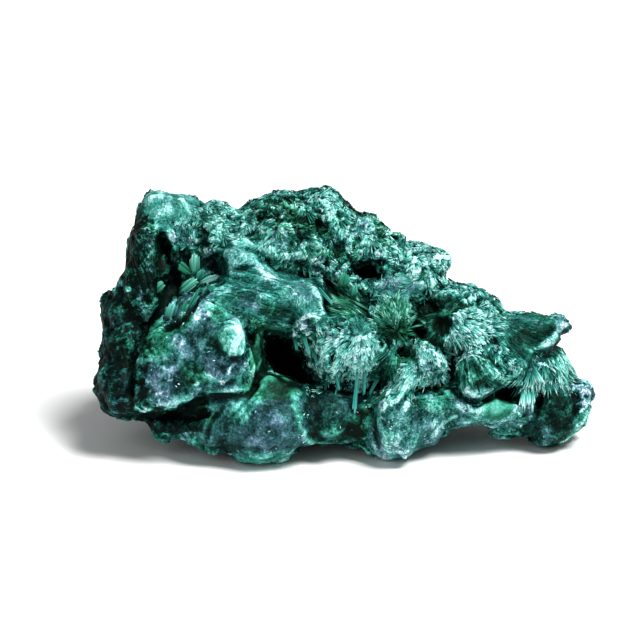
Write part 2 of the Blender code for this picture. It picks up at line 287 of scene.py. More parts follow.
# Ledges of the upper field, which carry splinters: radius, lightness, then places.
LEDGES = [
    (1.2, 0.90, [(-15.2, 23), (-10, 23.6), (-4.1, 24.2), (0.2, 26), (2, 27)]),
    (1.6, 0.95, [(1.4, 24.2), (4.7, 21.3), (9, 19.8), (14, 18.6), (16.5, 17.4)]),
    (1.3, 0.90, [(-16, 20), (-11, 19.4), (-7, 20.2)]),
    (1.4, 0.96, [(6.7, 16.9), (12.5, 16.3), (16.7, 13.8), (22.2, 11.6), (27, 13.2)]),
    (1.3, 0.88, [(-19.5, 17.6), (-15.2, 15.8), (-8.6, 14.4), (-2.2, 13.8), (0.3, 11.6),
                  (4.8, 9.2)]),
    (1.2, 0.92, [(6.7, 6.9), (11.4, 7.6), (18, 8.6), (23, 7.2), (27.4, 8)]),
    (1.2, 0.70, [(24.5, 4.6), (29, 5.2), (33.6, 4.8), (38, 1)]),
    (1.1, 0.86, [(-1, -3), (1.6, -1.4), (3.4, 0.4)]),
    (0.9, 0.80, [(-5, -2.2), (-3.2, -1), (-1.8, 0.4), (0, 1.2)]),
    (1, 0.80, [(-36.8, 26.4), (-33.5, 26.2), (-29.6, 25.6), (-26.6, 21.8), (-22, 20.4)]),
    (1, 0.70, [(-19.8, 24), (-17, 21.6), (-12.8, 21)]),
]

# Hollows pressed into the front: right, up, half width, half height, roll, depth.
HOLLOWS = [
    (-8.9, -6.3, 3.6, 3.4, -40, 5),
    (-6.6, -9.4, 4, 3.2, -45, 5),
    (-4.2, -11.4, 2, 3, 30, 5),
    (-1.2, 20.2, 3.8, 2.4, -5, 1.1),
    (2.4, 16.2, 1.2, 1.8, 20, 1.4),
    (-4.5, 18, 2.4, 1.2, 25, 0.9),
    (17.5, 17.5, 2.6, 1.2, -30, 0.9),
    (23.4, 2.9, 2.8, 2, 15, 4),
    (21.5, -2.2, 1.1, 2.4, 15, 3.5),
    (26.6, -1.4, 2.2, 2.2, 0, 1.8),
    (-22.2, 12.2, 2, 2.4, 0, 1.3),
    (-17.3, 10.9, 2.2, 0.7, 5, 1.4),
    (-33.4, 15.5, 1.3, 4.2, 12, 2.2),
    (-31.5, 9, 1.3, 3.6, 0, 4),
    (51.1, -20.3, 3.2, 4.8, 20, 1.3),
    (-9.8, -14.4, 4.2, 1.4, 0, 0.4),
    (-33.2, 5.2, 1.6, 3, -10, 2.6),
    (10.4, 10.8, 4.2, 2.6, 0, 5),
    (1.9, 7, 1.1, 3.2, 15, 4),
    (1.9, 2.6, 1, 3, 20, 4),
    (18.6, -7.6, 2.6, 1.4, 35, 1),
    (28.4, -11.8, 0.9, 3.4, 8, 4),
    (25.3, -14.5, 3.6, 0.8, 8, 4),
    (41, -15.6, 2.3, 2, 10, 3),
    (31.6, -17.3, 2.6, 1, -10, 1.6),
    (55.6, -16.6, 0.7, 1.5, 15, 1.8),
    (59.4, -15, 0.5, 0.7, 0, 1.2),
    (47.5, -18.6, 0.7, 2.4, -15, 3),
    (1, -12.4, 1.4, 1, 30, 2),
    (2.6, -8, 0.7, 1.8, -10, 2),
    (37.5, -4.5, 1.3, 0.8, -35, 2),
    (-14.7, -4.1, 0.9, 1.5, 0, 1.8),
    (-5.9, -0.2, 0.7, 0.9, -30, 2),
    (-6.8, 2.4, 0.5, 0.4, 0, 1.5),
    (-21, -9.9, 0.8, 0.5, 0, 1.2),
    (-18.8, -13, 0.8, 0.5, 20, 1.2),
    (-4.5, -27.8, 0.9, 0.7, 0, 1.5),
]

# Blocks raised out of the front: right, up, half width, half height, roll, rise.
BLOCKS = [
    (-25.2, -20.4, 3.2, 1.5, -40, 0.8),
    (57.2, -16, 2.4, 2.8, -15, 0.7),
    (26.3, 13, 2.2, 1.8, 80, 0.9),
    (-11.5, 10.4, 2.6, 1.4, -30, 0.9),
]

# Plates that stand out of the front with a crisp rim: rise, then their outline.
PLATES = [
    (1.5, [(-40.1, -15.8), (-39.5, -10.6), (-37.9, -4.6), (-36.7, -0.9), (-34, 1.2), (-32.5, -2.4),
           (-28.2, -0.3), (-24.3, 4.4), (-21, 3), (-16.4, -0.8), (-15.5, -5.4), (-13.8, -10.7),
           (-15.1, -15.3), (-25.5, -15.7), (-30.7, -18.9), (-39.8, -19.5)]),
    (1.3, [(-20.9, -2), (-19, -0.9), (-16.9, -1.2), (-16, -3.6), (-16.2, -6.9), (-17.3, -7.8),
           (-19.2, -7.6), (-20.7, -6), (-21.2, -4.2)]),
    (1, [(16.5, -8), (20.7, -3.7), (23.8, -5.4), (25.9, -8.4), (27.7, -11.7), (26.8, -13.4),
           (23, -14.2), (19.6, -14), (16.6, -17.6), (13.4, -18.9), (14.4, -13)]),
    (1, [(29.6, -7), (34.8, -7.8), (37.8, -10.5), (40.2, -14.2), (37.1, -15.8), (33.4, -17),
           (30.2, -14.6), (29, -10)]),
    (0.7, [(40, 1), (47, 1.6), (54.6, -0.8), (51.3, -3.2), (50.5, -5.4), (47, -6.2),
           (44.9, -8.2), (43.5, -11.1), (40.2, -13.8), (38.4, -8)]),
]
# Their rims: how wide the step is, how much lighter they are, and how dark the painted shadow below
# them is.
RIM_WIDTH = 0.9
RIM_LIGHT = 0.14
RIM_SHADE = 0.45

# A surface counts as front while its normal's part toward the camera is above this.
FRONT = -0.2

# Grooves between the lobes: radius, depth, then places as right and up.
GROOVES = [
    (0.9, 2.5, [(-33, 3.5), (-36.9, -1), (-39.9, -8), (-40.6, -14), (-40, -17.5)]),
    (0.9, 3, [(-38, -20.5), (-33.5, -20.6), (-28.4, -18.6), (-25, -17.4)]),
    (0.7, 2.5, [(-3.4, 9.8), (-0.2, 7.4), (1.4, 4.6), (1.4, 2.6), (2.6, 0.9)]),
    (0.8, 3, [(29.4, -6.5), (28.4, -9), (28.4, -11.5), (27.6, -13.9), (24, -14.9), (20.5, -15.4)]),
    (0.7, 2.5, [(-1, -14), (2.4, -14.4), (5.5, -15.8), (9.5, -15.6), (12.6, -14.2)]),
    (0.6, 1, [(10.2, -17), (11.3, -20.5), (11.9, -24), (12.8, -28)]),
    (0.7, 2.5, [(29, -15.6), (33, -18.4), (38.2, -16), (41.5, -17.4), (46.4, -17.6)]),
    (0.7, 2, [(48.4, -16), (47.4, -18), (46.6, -20)]),
    (0.5, 1.6, [(53.8, -14.4), (54.4, -17.4), (55.2, -20.4)]),
    (0.6, 1.8, [(-33, -1.8), (-30.4, -1.2), (-28, 1.2), (-26, 4.4), (-23.4, 6.6)]),
    (0.6, 1.6, [(-27.5, 16), (-22, 16.4), (-14, 15), (-9.5, 11), (-4, 9.6)]),
    (0.5, 1.5, [(14.5, -4.2), (14, -8), (12.8, -11.6)]),
    (0.5, 1.5, [(39.6, -8.4), (40.2, -11.8)]),
    (0.6, 1, [(-20.5, -18.5), (-23.5, -22), (-24.5, -26)]),
]

# Paint on the front, some of it painted shade and painted glints: right, up, half width, half
# height, roll, then what is added to the lightness, the lilac-grey share with its painted sheen,
# and the green.
PAINTS = [
    # Painted shade: the cave is painted black.
    (-6.6, -9, 3.4, 5.6, 40, -0.9, -0.5, 0),
    (-17.3, -4.6, 1.2, 2.8, 0, 0.13, -0.2, 0),
    (-20.2, -4.4, 1, 2.6, 0, -0.14, 0, 0.3),
    (-21.5, 1.8, 2.4, 2.6, 20, 0.16, -0.7, 0.2),
    (-35, -4.5, 2.6, 5, 15, -0.04, -0.9, 0.4),
    (-30, -1, 4, 1.2, 30, -0.30, -0.9, 0.5),
    (-26, 0, 2.6, 3, 30, 0, 0.3, 0),
    (-34.5, -11, 4, 4, 0, 0.10, 0.4, 0),
    (-27.5, -6.5, 4.5, 2.6, -20, 0.10, 0.3, 0),
    (-19.5, -9.6, 4.5, 2.4, 0, -0.22, 0.6, 0),
    (-27, -11.5, 2.6, 2.6, 0, -0.18, -0.7, 0.5),
    (-15.6, -12, 2, 3.6, -20, 0.20, -0.6, 0.1),
    (-23.6, -12.4, 2.4, 0.9, -15, 0.30, -0.4, 0.1),
    # Painted glints: small pale flecks of highlight on the plate and beside it.
    (-18.4, -9.6, 0.9, 0.4, 30, 0.6, 0.8, 0),
    (-19.4, -10.8, 0.8, 0.4, 60, 0.6, 0.8, 0),
    (-20.8, -13.1, 0.8, 0.35, 0, 0.6, 0.8, 0),
    (-26.3, -13.5, 0.7, 0.3, 10, 0.6, 0.8, 0),
    (-34.4, -15.6, 1, 0.4, 30, 0.2, 0.8, 0),
    (-26.4, 0.4, 0.6, 0.4, -40, 0.5, 0.8, 0),
    (-24, 1.4, 0.8, 0.3, 20, 0.5, 0.8, 0),
    (-29.6, -5, 1, 0.5, 35, 0.22, 0.8, 0),
    (26.5, 13.3, 2.6, 2.4, 0, 0.35, 0.3, 0),
    # Painted shade in the pockets of the upper field, tinted green.
    (-8.5, 24, 5.5, 1.8, 5, -0.34, 0, 0.6),
    (7.4, 24.6, 4, 1.4, -40, -0.32, 0, 0.5),
    (12.6, 20.6, 2.4, 1.2, -40, -0.30, 0, 0.5),
    (13.9, 16.6, 2.2, 1.8, 0, -0.34, 0, 0.5),
    (-8.3, 19.6, 2.4, 2.2, 0, -0.20, 0, 0.6),
    (-1.2, 20, 4.4, 3, -5, -0.26, 0, 0.6),
    (-0.5, 14.2, 3.4, 1, -10, -0.25, 0, 0.6),
    (-30, 17.3, 2.4, 1.4, -20, -0.05, 0.9, 0),
    (-11.5, 10.4, 3, 1.8, -30, 0.24, 0.2, 0),
    (-12.5, 3, 6, 1.5, -22, -0.24, 0, 0.4),
    (-15, 3.4, 2.6, 0.8, -25, 0.16, 0.9, 0),
    (-13, -1, 4.5, 1.4, -15, -0.06, 0, 0.5),
    (-3, 6.4, 3.4, 2.4, -40, 0.04, 0.4, 0),
    (16.5, 7.6, 4.5, 1.6, -8, 0.06, 0.8, 0),
    (37.9, -18.2, 3.2, 2.6, 20, 0.03, 0, -0.1),
    (24, -17, 6.5, 3, -10, -0.20, -0.4, 0.2),
    # Painted shade: a black crevice.
    (40.6, -15.4, 2.6, 1.6, 10, -0.9, -0.6, 0),
    (14.5, -28, 2.5, 2, 30, 0.25, 0.5, 0),
    (57.4, -15.6, 2, 2.2, -15, 0.14, 0.2, 0),
    # Painted shade along the crown's left edge.
    (-39.6, 22, 1.3, 6, 0, -0.40, 0, 0.3),
    (-36, 9.5, 2.6, 5, 0, -0.25, -0.5, 0.3),
    (56.6, -22, 1.4, 4.6, -32, 0.44, -0.3, 0.1),
    (49, -1.4, 3, 2.2, 0, -0.10, -0.3, 0.1),
    (52.6, -2.4, 2, 1.5, 0, 0, 0.6, 0),
    (46, -0.6, 5, 1, -10, 0.16, 0.4, 0),
    (31.6, -17.3, 2.8, 1.2, -10, 0.10, 0.9, 0),
    (35, -19.6, 4.5, 1.6, -10, 0.10, 0, 0),
    (-10.8, -23.2, 7, 5.2, 10, -0.02, 0.5, 0),
    (-10.5, -30, 7, 2, 0, 0.18, -0.5, 0),
    (-21, -27.5, 4, 2, 0, -0.15, 0, 0.2),
    (9, -22, 2.4, 5, -20, -0.14, -0.6, 0.3),
    (1.5, -24.8, 4.5, 1.6, 0, 0.14, -0.2, 0.1),
    (16.5, -3, 2.2, 1.9, 0, -0.40, 0, 0.2),
    (13.6, -3.6, 2.6, 1.6, 20, -0.30, 0, 0.2),
    (18.7, -7.4, 2.6, 1.5, 35, -0.24, -0.2, 0.7),
    (24, -9.6, 3, 3, 0, 0.06, 0.4, 0),
]

# Leaf-like crystals: right, up, half length, half width, roll, lightness and green.
LEAVES = [
    (-27.2, 12, 2.7, 1, 85, 0.98, 0.4),
    (-29.8, 11.4, 2.5, 0.8, 140, 0.70, 0.6),
    (-28.6, 7.3, 2.8, 1.1, 38, 0.84, 0.4),
    (-26, 9.6, 1.8, 0.7, 60, 0.70, 0.2),
    (-24, 8.6, 2.6, 0.8, 22, 1.06, 0),
    (-23, 6.4, 1.6, 0.6, -30, 0.70, 0.1),
    (-34.9, 7, 2, 0.9, 42, 0.76, 0.6),
    (-31.8, 1.5, 2.3, 1.7, 70, 0.76, 0.1),
    (-27.4, 3.6, 2.6, 0.6, 60, 0.58, 0.3),
    (-29, 2.4, 1.8, 0.4, 75, 0.56, 0.5),
    (-41.2, 6.6, 0.9, 0.4, -35, 0.95, 0),
    (5.2, 8.6, 1.8, 1.1, 75, 0.62, 0.5),
    (7.2, 6.2, 1.3, 0.8, 80, 0.68, 0.2),
]

# Single needles: root, tip, width at the root and near the tip, lightness and green.
NEEDLES = [
    ((8, -11), (7.3, -19.8), 0.5, 0.95, 0.66, 0.1),
    ((1.2, -12.5), (1.2, -17.3), 0.3, 0.4, 0.62, 0.2),
    ((3.2, -12), (4.2, -15), 0.5, 0.3, 0.66, 0.1),
    ((4.6, -11.5), (3.2, -16.4), 0.4, 0.3, 0.60, 0.1),
    ((9.6, -11), (9.4, -16), 0.7, 0.4, 0.62, 0.1),
    ((14.2, -15.5), (11.8, -17.8), 1.2, 0.6, 0.38, 0.5),
    ((12.4, -12.5), (10.6, -16), 0.8, 0.4, 0.55, 0.1),
    ((1.2, 7.8), (3, 4.6), 0.6, 0.4, 0.74, 0.1),
    ((-0.4, 6.8), (2.9, 3.2), 0.6, 0.4, 0.78, 0.1),
    ((-3.6, -3.2), (-2.2, -7.6), 0.9, 0.5, 0.66, 0.2),
    ((-5.4, -3.6), (-5, -6.4), 0.7, 0.4, 0.60, 0.3),
    ((-1.6, -6), (-0.6, -9.4), 0.9, 0.5, 0.70, 0),
]
# The strands to a millimetre of single needle, how far leaves stand out, the width of their
# fibres, how much these fan out, and how light such needles are at their roots under painted shade.
STRANDS_TO_WIDTH = 4.0
LEAF_DEPTH = 0.2
LEAF_FIBRE = 0.10
LEAF_FAN = 0.03
LEAF_ROOT = 0.70

# The voxels and smoothing steps before the hollows are pressed in, and the voxels after.
FIRST_VOXEL = 0.7
FIRST_RELAX = 3
BODY_VOXEL = 0.54


# ---------------------------------------------------------------- array helpers

def unit_rows(rows):
    """Each row scaled to length 1."""
    return rows / np.maximum(np.linalg.norm(rows, axis=1, keepdims=True), 1e-9)


def limited(values):
    """Values kept between 0 and 1."""
    return np.clip(values, 0.0, 1.0)


def dot_rows(first, second):
    return np.einsum("ij,ij->i", first, second)


def array_of(items, key, width):
    """A mesh collection's values as an array of this many columns."""
    values = np.empty(len(items) * width)
    items.foreach_get(key, values)
    return values.reshape(-1, width)


def places_of(mesh):
    return array_of(mesh.vertices, "co", 3)


def normals_of(mesh):
    return array_of(mesh.vertices, "normal", 3)


def set_attribute(mesh, name, values):
    attribute = mesh.attributes.new(name, "FLOAT", "POINT")
    attribute.data.foreach_set("value", np.asarray(values, dtype=np.float32))


def noise_at(places, scale, octaves=2, offset=0.0):
    """Fractal noise of about -1 to 1 at each place, with features of this size."""
    scaled = places / scale + offset
    return np.array([noise.fractal(place, 0.9, 2.0, octaves) for place in scaled])


def noise_vectors(places, scale, offset=0.0):
    """A direction at each place that drifts slowly over this distance."""
    scaled = places / scale + offset
    return unit_rows(np.array([noise.noise_vector(place) for place in scaled]))


def blocks_at(places, scale, offset=0.0):
    """Flat, tilted, stepped blocks of about this size: heights of about -1 to 1."""
    heights = []
    for place in places / scale + offset:
        centre = noise.voronoi(place)[1][0]
        tilt = noise.cell_vector(centre * 61.0) * 2.0 - Vector((1.0, 1.0, 1.0))
        step = noise.cell(centre * 97.0)
        heights.append(0.7 * step + tilt.dot(Vector(place) - centre))
    return np.array(heights)


def in_ellipse(places, right, up, half_right, half_up, roll):
    """0 at the middle of an ellipse seen from the camera, 1 on its rim and more outside."""
    angle = math.radians(roll)
    across = places[:, 0] - right
    rise = places[:, 1] - up
    along = (across * math.cos(angle) + rise * math.sin(angle)) / half_right
    aside = (rise * math.cos(angle) - across * math.sin(angle)) / half_up
    return np.hypot(along, aside)


def spreads(places, rows):
    """For each row that starts with an ellipse: in_ellipse of the places, and the row's rest."""
    for row in rows:
        yield (in_ellipse(places, *row[:5]), *row[5:])


def line_distance(places, corners):
    """How far each place lies from a line of corners, as seen from the camera."""
    spots = places[:, :2]
    best = np.full(len(places), np.inf)
    for start, end in zip(np.array(corners[:-1]), np.array(corners[1:])):
        run = end - start
        share = limited((spots - start) @ run / (run @ run))
        gap = np.linalg.norm(spots - start - share[:, None] * run, axis=1)
        best = np.minimum(best, gap)
    return best


def rim_depth(places, corners):
    """How far inside a closed outline each place lies, below 0 outside it."""
    closed = corners + corners[:1]
    inside = np.zeros(len(places), dtype=bool)
    for (right, up), (next_right, next_up) in zip(closed, closed[1:]):
        crosses = (up > places[:, 1]) != (next_up > places[:, 1])
        slope = (next_right - right) / ((next_up - up) or 1.0)
        inside ^= crosses & (places[:, 0] < right + slope * (places[:, 1] - up))
    return line_distance(places, closed) * np.where(inside, 1.0, -1.0)


def neighbour_mean(edges, values, count):
    """The mean of each vertex's neighbours' values."""
    ends = np.concatenate((edges[:, 0], edges[:, 1]))
    others = np.concatenate((edges[:, 1], edges[:, 0]))
    degree = np.maximum(np.bincount(ends, minlength=count), 1)
    columns = [np.bincount(ends, values[others, axis], count) / degree for axis in range(3)]
    return np.stack(columns, axis=1)


def relief(mesh, steps):
    """How far each vertex stands out of the surface smoothed this many times."""
    places = places_of(mesh)
    edges = array_of(mesh.edges, "vertices", 2).astype(int)
    level = places
    for _ in range(steps):
        level = neighbour_mean(edges, level, len(places))
    return dot_rows(places - level, normals_of(mesh))


def tree_of(points):
    tree = KDTree(len(points))
    for index, point in enumerate(points):
        tree.insert(point, index)
    tree.balance()
    return tree


def nearest(points, places):
    """The index of the nearest point to each place, and its distance."""
    tree = tree_of(points)
    found = [tree.find(place)[1:] for place in places]
    return np.array([index for index, _ in found]), np.array([gap for _, gap in found])


# ---------------------------------------------------------------- the chunk's shape

def evaluated(mesh, *modifiers):
    """The mesh that these modifiers make, each given as its type and its settings."""
    item = bpy.data.objects.new("shaping", mesh)
    bpy.context.scene.collection.objects.link(item)
    for kind, settings in modifiers:
        modifier = item.modifiers.new(kind, kind)
        for key, value in settings.items():
            setattr(modifier, key, value)
    graph = bpy.context.evaluated_depsgraph_get()
    made = bpy.data.meshes.new_from_object(item.evaluated_get(graph))
    bpy.data.objects.remove(item)
    return made


def voxels(size):
    return ("REMESH", {"mode": "VOXEL", "voxel_size": size, "use_smooth_shade": True})


def relax(steps):
    return ("SMOOTH", {"factor": 0.5, "iterations": steps})


def surface_tree(mesh):
    faces = [tuple(face.vertices) for face in mesh.polygons]
    return BVHTree.FromPolygons([vertex.co for vertex in mesh.vertices], faces)


def front_depth(tree, right, up):
    """How far toward the camera the surface is at this right and up."""
    hit = tree.ray_cast(Vector((right, up, 200.0)), Vector((0.0, 0.0, -1.0)))[0]
    return hit.z if hit else 0.0


# Hollows: how ragged their rims are when pressed in and when painted, how much of a groove's
# radius it loses where it is narrow, and the depths at which their painted shade goes fully dark.
PRESSED_RAGGED = 0.32
PAINTED_RAGGED = 0.4
GROOVE_NARROWS = 0.7
DARK_HOLLOW = 3.0
DARK_GROOVE = 5.0


def hollow_spreads(places):
    """For each hollow and groove: 0 in its middle to 1 on its rim, its depth and the darkness of
    its painted shade.

    Grooves narrow and widen along their run.
    """
    narrows = GROOVE_NARROWS * np.clip(noise_at(places, 4.0, octaves=1, offset=33.0), -0.2, 1.0)
    for spread, depth in spreads(places, HOLLOWS):
        yield spread, depth, depth / DARK_HOLLOW
    for radius, depth, corners in GROOVES:
        yield line_distance(places, corners) / radius + narrows, depth, depth / DARK_GROOVE


def press_hollows(mesh):
    places = places_of(mesh)
    facing = normals_of(mesh)[:, 2] > 0.0
    ragged = PRESSED_RAGGED * noise_at(places, 1.6)
    drop = np.zeros(len(places))
    for spread, depth, _ in hollow_spreads(places):
        drop = np.maximum(drop, depth * limited(1.25 - (spread + ragged) ** 2))
    for spread, rise in spreads(places, BLOCKS):
        drop -= rise * limited(3.2 - 3.0 * (spread + 0.5 * ragged))
    for rise, corners in PLATES:
        depth = rim_depth(places, corners) + ragged
        drop -= rise * limited(0.5 + depth / RIM_WIDTH)
    places[:, 2] -= drop * facing
    mesh.vertices.foreach_set("co", places.ravel())


def shadow_at(places, normals):
    """Painted shade: 1 in the hollows and grooves of the front, falling to 0 just outside them, and
    a painted shadow below the plates' rims.
    """
    shadow = np.zeros(len(places))
    ragged = PAINTED_RAGGED * noise_at(places, 1.8, offset=15.0)
    for spread, _, darkness in hollow_spreads(places):
        weight = limited(2.0 - 1.6 * (spread + ragged)) * min(1.0, darkness)
        shadow = np.maximum(shadow, weight)
    for _, corners in PLATES:
        outside = -rim_depth(places, corners)
        below = (rim_depth(places + (-0.3, 0.6, 0.0), corners) + outside) / 0.6
        band = limited(1.2 - np.abs(outside - 0.5) + ragged) * (outside > 0.0)
        shadow = np.maximum(shadow, RIM_SHADE * band * limited(below))
    return shadow * (normals[:, 2] > FRONT)


def line_weight(places, normals, balls):
    """1 on the lines' balls, less beside them and in places, and their lightness."""
    ball, gap = nearest(balls[:, :3], places)
    weight = limited(2.0 - gap / balls[ball, 3])
    weight *= np.clip(0.9 + 0.8 * noise_at(places, 2.4, offset=80.0), 0.2, 1.0)
    return weight * (normals[:, 2] > FRONT), balls[ball, 4]


# The shares of their radius that the balls of ridges and ledges are sunk, and are apart.
RIDGE_SINK = 0.4
LEDGE_SINK = 0.35
BALL_STEP = 0.6


def line_balls(tree, lines, sink):
    """Balls along each line, sunk in the surface: their place, radius and lightness."""
    balls = []
    for radius, light, corners in lines:
        corners = np.array(corners)
        lengths = np.linalg.norm(np.diff(corners, axis=0), axis=1)
        run = np.concatenate(((0.0,), np.cumsum(lengths)))
        steps = np.linspace(0.0, run[-1], max(2, int(run[-1] / (BALL_STEP * radius))))
        jitter = rng.normal(0.0, 0.2 * radius, (2, len(steps)))
        rights = np.interp(steps, run, corners[:, 0]) + jitter[0]
        ups = np.interp(steps, run, corners[:, 1]) + jitter[1]
        depths = np.array([front_depth(tree, *spot) for spot in zip(rights, ups)])
        padded = np.pad(depths, 2, mode="edge")
        depths = np.array([np.median(padded[spot:spot + 5]) for spot in range(len(depths))])
        sizes = radius * rng.uniform(0.75, 1.2, len(steps))
        for ball in zip(rights, ups, depths - sink * radius, sizes):
            balls.append((*ball, light))
    return np.array(balls)


def with_balls(mesh, balls):
    shape = bmesh.new()
    shape.from_mesh(mesh)
    for right, up, toward, radius, _ in balls:
        spot = Matrix.Translation((right, up, toward))
        bmesh.ops.create_icosphere(shape, subdivisions=1, radius=radius, matrix=spot)
    shape.to_mesh(mesh)
    shape.free()
    return mesh


def shape_body():
    """The chunk in the leaning frame, with its hollows, and the balls of ridges and ledges."""
    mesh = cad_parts[NODE].data.copy()
    mesh.transform(LEAN_MATRIX.inverted())
    mesh = evaluated(mesh, voxels(FIRST_VOXEL), relax(FIRST_RELAX))
    press_hollows(mesh)
    tree = surface_tree(mesh)
    ridges = line_balls(tree, RIDGES, RIDGE_SINK)
    ledges = line_balls(tree, LEDGES, LEDGE_SINK)
    mesh = with_balls(mesh, np.concatenate((ridges, ledges)))
    return evaluated(mesh, voxels(BODY_VOXEL), relax(1)), ridges, ledges


def zones_at(places, normals):
    """The index in ALL_ZONES of each surface point's zone."""
    ragged = noise_at(places, 3.0) * BORDER_NOISE
    patches = noise_at(places, 9.0, octaves=1, offset=40.0)
    found = len(ZONES) + np.digitize(patches, PATCH_LIMITS)
    found[normals @ AXES[:, 2] < DOWNWARD] = UNDERSIDE
    facing = normals[:, 2] > ZONED
    for index, zone in enumerate(ZONES):
        spread = in_ellipse(places, *zone[1:6])
        found[facing & (spread + ragged < 1.0)] = index
    return found


Own = namedtuple("Own", (*Style._fields, "light"))


def own_values(zones):
    """Each field of its style, and the lightness of its zone, at each point in these zones."""
    rows = [(*STYLES[zone.style], zone.light) for zone in ALL_ZONES]
    return Own(*(np.array(column)[zones] for column in zip(*rows)))


# ---------------------------------------------------------------- sheaves of splinters

Sheaves = namedtuple("Sheaves", "vertex zone axis side")
# How slowly sheaves change direction, the size of the clumps they stand in, the noise level
# that leaves a gap between clumps, and the shadow in which none grow.
WANDER_SIZE = 5.0
GAP_CLUMP = 2.6
GAP_SHARE = -0.22
BARE_SHADOW = 0.7


def sheaf_vertices(places, zones, bare):
    """Vertices to grow sheaves from, a gap apart, with bare patches between clumps."""
    tree = tree_of(places)
    own = own_values(zones)
    clumps = noise_at(places, GAP_CLUMP, offset=70.0)
    free = (own.gap > 0.0) & ~bare & ~((own.kind == "tuft") & (clumps < GAP_SHARE))
    chosen = []
    for index in rng.permutation(len(places)):
        if not free[index]:
            continue
        chosen.append(index)
        for _, near, _ in tree.find_range(places[index], own.gap[index]):
            free[near] = False
    return np.array(chosen)


def grow_sheaves(mesh, tree, zones, bare):
    """Where each sheaf stands, its axis, and the direction across it in the surface."""
    all_places = places_of(mesh)
    vertex = sheaf_vertices(all_places, zones, bare)
    places = all_places[vertex]
    normals = normals_of(mesh)[vertex]
    mine = zones[vertex]
    own = own_values(mine)
    stray = 0.1 + 0.4 * own.rough
    along = noise_vectors(places, WANDER_SIZE) + rng.normal(0.0, 1.0, places.shape) * stray[:, None]
    for index, zone in enumerate(ALL_ZONES):
        picked = mine == index
        kind = STYLES[zone.style].kind
        if kind == "fan":
            source = np.array((*zone.aim, front_depth(tree, *zone.aim) - 1.0))
            jitter = rng.normal(0.0, STYLES[zone.style].splay, (picked.sum(), 3))
            along[picked] = unit_rows(places[picked] - source) + jitter
        elif kind == "flow":
            bend = 0.35 * along[picked]
            along[picked] = np.array((*zone.aim, 0.0)) + bend
        elif kind == "tuft":
            along[picked] += np.array((*zone.aim, 0.0))
    flat = unit_rows(along - normals * dot_rows(along, normals)[:, None])
    lift = own.lift * rng.uniform(0.4, 1.5, len(mine))
    axis = unit_rows(flat + normals * lift[:, None])
    return Sheaves(vertex, mine, axis, unit_rows(np.cross(axis, normals)))


def settle(tree, tips, heights):
    """Moves tips that stand too high over the surface, or sink into it, to just over it."""
    settled = tips.copy()
    allowed = heights * rng.uniform(0.3, 1.0, len(heights))
    for index, tip in enumerate(tips):
        spot, normal, _, _ = tree.find_nearest(tip)
        rise = (Vector(tip) - spot).dot(normal)
        if rise > allowed[index] or rise < 0.0:
            settled[index] = spot + normal * allowed[index]
    return settled


# Splinters: how a sheaf's and its members' sizes vary, how much shorter the outer ones are,
# the share of each below the surface, how sheaves differ in tone, and how much painted shade
# darkens their roots.
SHEAF_SCALES = (0.5, 1.4)
LENGTH_SCALES = (0.7, 1.15)
WIDTH_SCALES = (0.4, 2.0)
EDGE_SHORTER = 0.35
ROOT_SINK = 0.22
SHEAF_TONE = 0.20
ROOT_DARKNESS = 0.72
FAN_WIDTH = 0.16


def splinters_of(mesh, tree, sheaves, picked, look):
    """Straight splinters side by side in each picked sheaf, which opens like a small fan.

    Gives their paths, widths, sides, tones, tints, and how light their roots stay under painted
    shade.
    """
    sheaves = Sheaves(*(values[picked] for values in sheaves))
    counts = own_values(sheaves.zone).count
    owner = np.repeat(np.arange(len(counts)), counts)
    own = own_values(sheaves.zone[owner])
    axis = sheaves.axis[owner]
    count = len(owner)
    aside = rng.normal(0.0, 1.0, (count, 3))
    aside -= axis * dot_rows(aside, axis)[:, None]
    share = rng.uniform(-1.0, 1.0, count)
    across = sheaves.side[owner] * share[:, None]
    scale = np.clip(rng.lognormal(-0.05, 0.3, len(counts)), *SHEAF_SCALES)[owner]
    width = own.width * scale
    aims = unit_rows(axis + (across + 0.4 * aside) * own.splay[:, None])
    lengths = own.length * scale * rng.uniform(*LENGTH_SCALES, count)
    lengths *= 1.0 - EDGE_SHORTER * share ** 2
    widths = width * np.clip(rng.lognormal(-0.1, 0.35, count), *WIDTH_SCALES)
    foot = places_of(mesh)[sheaves.vertex][owner]
    spread = FAN_WIDTH * width * own.count
    roots = foot + across * spread[:, None] + aside * width[:, None] * 0.4
    roots -= aims * lengths[:, None] * ROOT_SINK
    shoulder = 0.7 + 0.22 * own.blunt
    tips = settle(tree, roots + aims * lengths[:, None], own.height)
    steps = np.stack((np.zeros(count), shoulder, np.ones(count)), axis=1)
    paths = roots[:, None, :] + (tips - roots)[:, None, :] * steps[:, :, None]
    sheaf_tone = rng.normal(0.0, SHEAF_TONE, len(counts))[owner]
    tones = look.light[sheaves.vertex][owner] + sheaf_tone * own.contrast
    tones *= 1.08 + 0.30 * own.contrast * rng.uniform(-1.0, 1.0, count)
    tints = look.green[sheaves.vertex][owner] * rng.uniform(0.3, 1.2, count)
    side = sheaves.side[owner] + 0.4 * rng.normal(size=(count, 3))
    side = unit_rows(side - aims * dot_rows(side, aims)[:, None])
    return paths, widths, side, tones, tints, 1.0 - ROOT_DARKNESS * own.contrast


def drape(tree, paths):
    """Lays each path's points on the surface."""
    laid = [tree.find_nearest(place)[0] for place in paths.reshape(-1, 3)]
    return np.array(laid).reshape(paths.shape)


# The OFBake palette's rows of tints.
PALETTE_ROWS = 8


